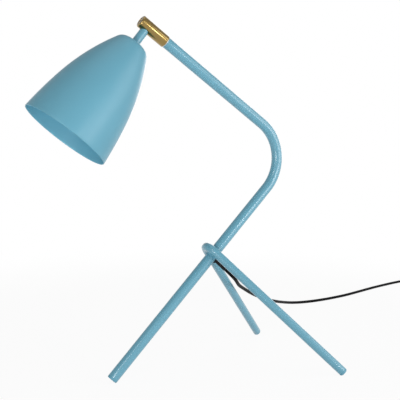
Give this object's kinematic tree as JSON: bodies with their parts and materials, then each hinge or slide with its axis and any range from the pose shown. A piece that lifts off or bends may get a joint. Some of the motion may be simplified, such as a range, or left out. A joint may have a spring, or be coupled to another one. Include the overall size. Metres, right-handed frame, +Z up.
{
  "type": "tripod table lamp",
  "caption": "Desk lamp with a bell shade on a swivelling brass joint, held by a bent tube that a hairpin tube turns into a tripod, with a free mains cord.",
  "frame": {"origin": "bottom centre of the lamp's bounding box without its free cord, on the surface it stands on", "axes": "+Z up, -X the way the head reaches, the stand symmetric about the XZ plane"},
  "size_m": [1.0277, 0.4703, 0.5125],
  "materials": {
    "stand_paint": "satin paint",
    "shade_paint": "satin paint on spun sheet",
    "neck_paint": "satin paint",
    "polished_brass": "polished",
    "zinc_steel": "zinc plated",
    "foot_plastic": "matte",
    "bush_plastic": "natural nylon",
    "holder_plastic": "gloss",
    "core_ceramic": "unglazed",
    "contact_brass": "plated",
    "wire_plastic": "gloss",
    "cord_plastic": "satin sheath",
    "grommet_rubber": "matte",
    "switch_plastic": "fine texture",
    "rocker_plastic": "gloss",
    "screw_steel": "zinc plated",
    "plug_plastic": "fine texture",
    "pin_brass": "nickel plated"
  },
  "bodies": {
    "stand": {"main_tube": "stand_paint", "rear_legs": "stand_paint", "loop_welds": "stand_paint", "swivel_spindle": "zinc_steel", "spindle_washer": "zinc_steel", "front_foot_plug": "foot_plastic", "left_foot_plug": "foot_plastic", "right_foot_plug": "foot_plastic", "inner_cord": "cord_plastic", "cord_lead": "cord_plastic", "cord_stretch": "cord_plastic", "cord_lead_in": "cord_plastic", "cord_coil": "cord_plastic", "cord_tail": "cord_plastic", "cord_grommet": "grommet_rubber", "plug_relief": "grommet_rubber", "switch_base": "switch_plastic", "switch_cover": "switch_plastic", "switch_screws": "screw_steel", "plug_body": "plug_plastic", "plug_pins": "pin_brass"},
    "head": {"swivel_bush": "bush_plastic", "brass_sleeve": "polished_brass", "stop_screw": "zinc_steel", "sleeve_end_cap": "polished_brass", "neck_tube": "neck_paint", "neck_nipple": "zinc_steel", "shade": "shade_paint", "lock_washer": "zinc_steel", "lock_nut": "zinc_steel", "holder_cap": "holder_plastic", "holder_skirt": "holder_plastic", "holder_core": "core_ceramic", "terminal_screws": "contact_brass", "socket_shell": "contact_brass", "centre_contact": "contact_brass", "head_wires": "wire_plastic"},
    "rocker": {"switch_rocker": "rocker_plastic"}
  },
  "joints": [
    {"name": "head_swivel", "type": "hinge", "parent": "stand", "child": "head", "pos_m": [-0.02099, 0, 0.47904], "axis": [-0.8231, 0, 0.5678], "range_deg": [-150, 150]},
    {"name": "switch_press", "type": "hinge", "parent": "stand", "child": "rocker", "pos_m": [0.794, 0.255, 0.0165], "axis": [0.9848, -0.1736, 0], "range_deg": [-12, 0]}
  ]
}
